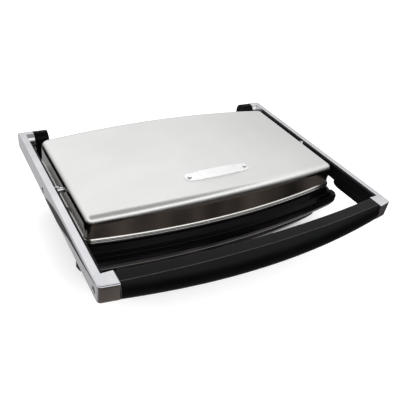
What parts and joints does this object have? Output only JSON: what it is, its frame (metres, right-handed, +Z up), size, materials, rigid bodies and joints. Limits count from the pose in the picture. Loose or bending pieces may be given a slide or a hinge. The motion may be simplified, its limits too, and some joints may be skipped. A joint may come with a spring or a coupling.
{
  "type": "panini press",
  "caption": "Panini press with ribbed plates, a floating arched steel lid, a bowed grip on two cast arms and a slide-out drip tray.",
  "frame": {"origin": "on the worktop plane under the middle of the closed press", "axes": "+Z up, front and grip towards -Y, +X to the right seen from the front"},
  "size_m": [0.3666, 0.3037, 0.1109],
  "materials": {
    "black_housing": "glossy",
    "black_liner": "satin",
    "black_cover": "matte",
    "foot_rubber": "matte",
    "gland_rubber": "matte",
    "cast_plate": "non-stick coated",
    "heater_sheath": "heat-tinted",
    "shield_sheet": "rolled",
    "sensor_body": "satin",
    "terminal_ceramic": "unglazed",
    "terminal_brass": "bright",
    "pin_steel": "ground",
    "pivot_steel": "bright",
    "screw_steel": "zinc plated",
    "screw_chrome": "bright",
    "bush_bronze": "sintered",
    "bracket_steel": "zinc plated",
    "tray_pan": "satin",
    "tray_gloss": "glossy",
    "arm_metal": "satin die-cast",
    "grip_black": "satin",
    "lid_steel": "brushed",
    "band_chrome": "bright",
    "badge_chrome": "polished"
  },
  "bodies": {
    "base": {"lower_housing": "black_housing", "base_bottom_cover": "black_cover", "base_screws": "screw_steel", "rubber_feet": "foot_rubber", "lower_grill_plate": "cast_plate", "lower_heating_element": "heater_sheath", "lower_heat_shield": "shield_sheet", "thermostat": "sensor_body", "terminal_block": "terminal_ceramic", "terminal_screws": "terminal_brass", "cord_gland": "gland_rubber", "hinge_bracket_left": "black_housing", "hinge_bracket_right": "black_housing", "hinge_pins": "pin_steel", "bracket_screws": "screw_steel", "tray_rails": "black_cover"},
    "tray": {"drip_tray_pan": "tray_pan", "drip_tray_front": "tray_gloss"},
    "handle": {"arm_left": "arm_metal", "arm_right": "arm_metal", "arm_liner_left": "black_liner", "arm_liner_right": "black_liner", "arm_inlay_left": "black_liner", "arm_inlay_right": "black_liner", "pivot_collars": "arm_metal", "pivot_pins": "pivot_steel", "grip_screws": "screw_chrome", "liner_screws": "screw_chrome", "handle_grip": "grip_black", "grip_core": "bracket_steel", "hinge_bushes": "bush_bronze"},
    "lid": {"lid_cover": "lid_steel", "lid_trim_band": "band_chrome", "upper_housing": "black_housing", "upper_grill_plate": "cast_plate", "upper_heating_element": "heater_sheath", "upper_heat_shield": "shield_sheet", "thermal_fuse": "sensor_body", "lid_pivot_brackets": "bracket_steel", "cover_nuts": "screw_steel", "upper_plate_screws": "screw_steel", "badge_plate": "badge_chrome", "badge_rivets": "badge_chrome"}
  },
  "joints": [
    {"name": "tray_slide", "type": "slide", "parent": "base", "child": "tray", "axis": [0, -1, 0], "range_m": [0, 0.1]},
    {"name": "handle_hinge", "type": "hinge", "parent": "base", "child": "handle", "pos_m": [0, 0.1413, 0.0855], "axis": [-1, 0, 0], "range_deg": [0, 100]},
    {"name": "lid_tilt", "type": "hinge", "parent": "handle", "child": "lid", "pos_m": [0, 0.0214, 0.0895], "axis": [1, 0, 0], "range_deg": [0, 10]}
  ],
  "couplings": [
    {"joint": "lid_tilt", "follows": "handle_hinge", "ratio": 0.1}
  ]
}
